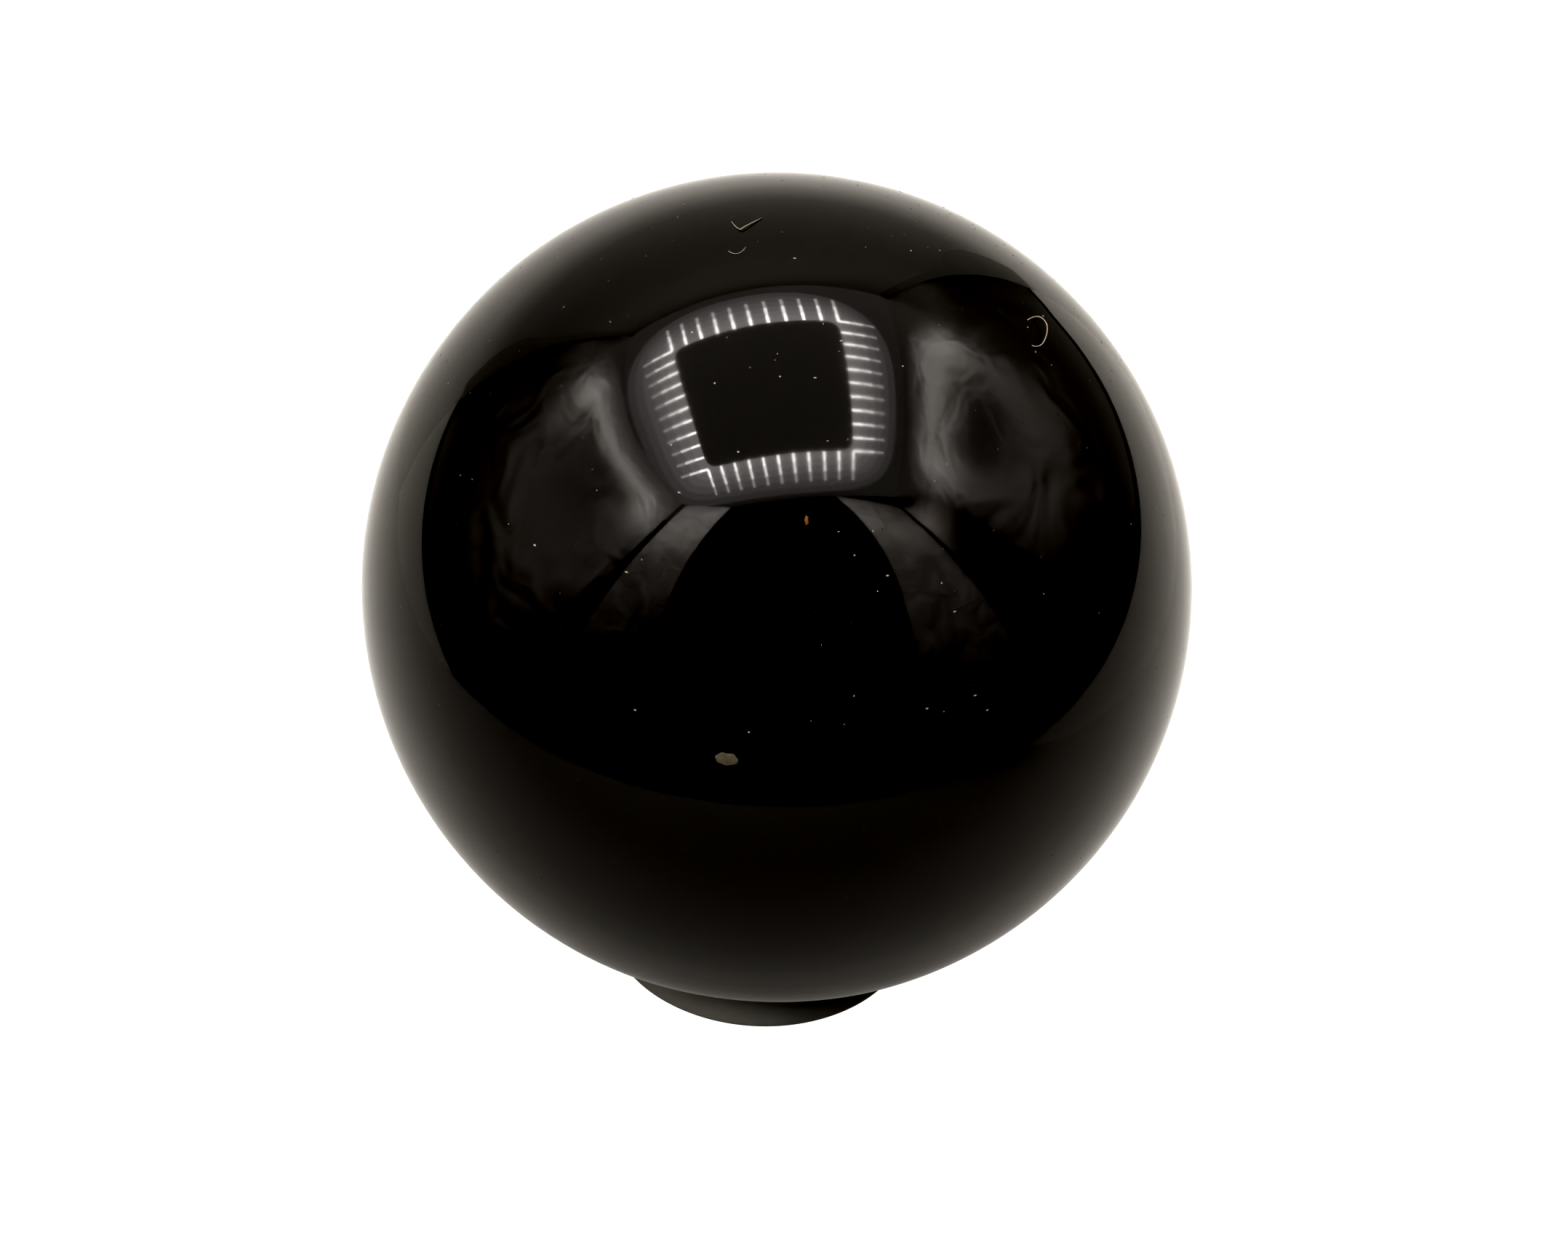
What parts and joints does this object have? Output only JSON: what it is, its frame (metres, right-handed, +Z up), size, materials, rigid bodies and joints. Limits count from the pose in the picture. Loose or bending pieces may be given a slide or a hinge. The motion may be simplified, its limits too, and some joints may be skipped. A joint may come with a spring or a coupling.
{
  "type": "case opening friction ball",
  "caption": "Glossy, tacky, air-filled ball for turning screw-down watch backs, resting in a small round moulded ring stand.",
  "frame": {"origin": "centre of the ring stand's underside, on the bench", "axes": "+Z up through the ring stand and the ball's centre; the object is round about Z"},
  "size_m": [0.065, 0.065, 0.0679],
  "materials": {
    "tacky_pvc": "high gloss, smooth, tacky soft PVC",
    "valve_rubber": "satin moulded rubber",
    "ring_plastic": "satin moulded plastic"
  },
  "bodies": {
    "stand": {"stand_ring": "ring_plastic"},
    "ball": {"ball_skin": "tacky_pvc", "valve_plug": "valve_rubber"}
  },
  "joints": [
    {"name": "ball_lift", "type": "slide", "parent": "stand", "child": "ball", "axis": [0, 0, 1], "range_m": [0, 0.05]}
  ]
}
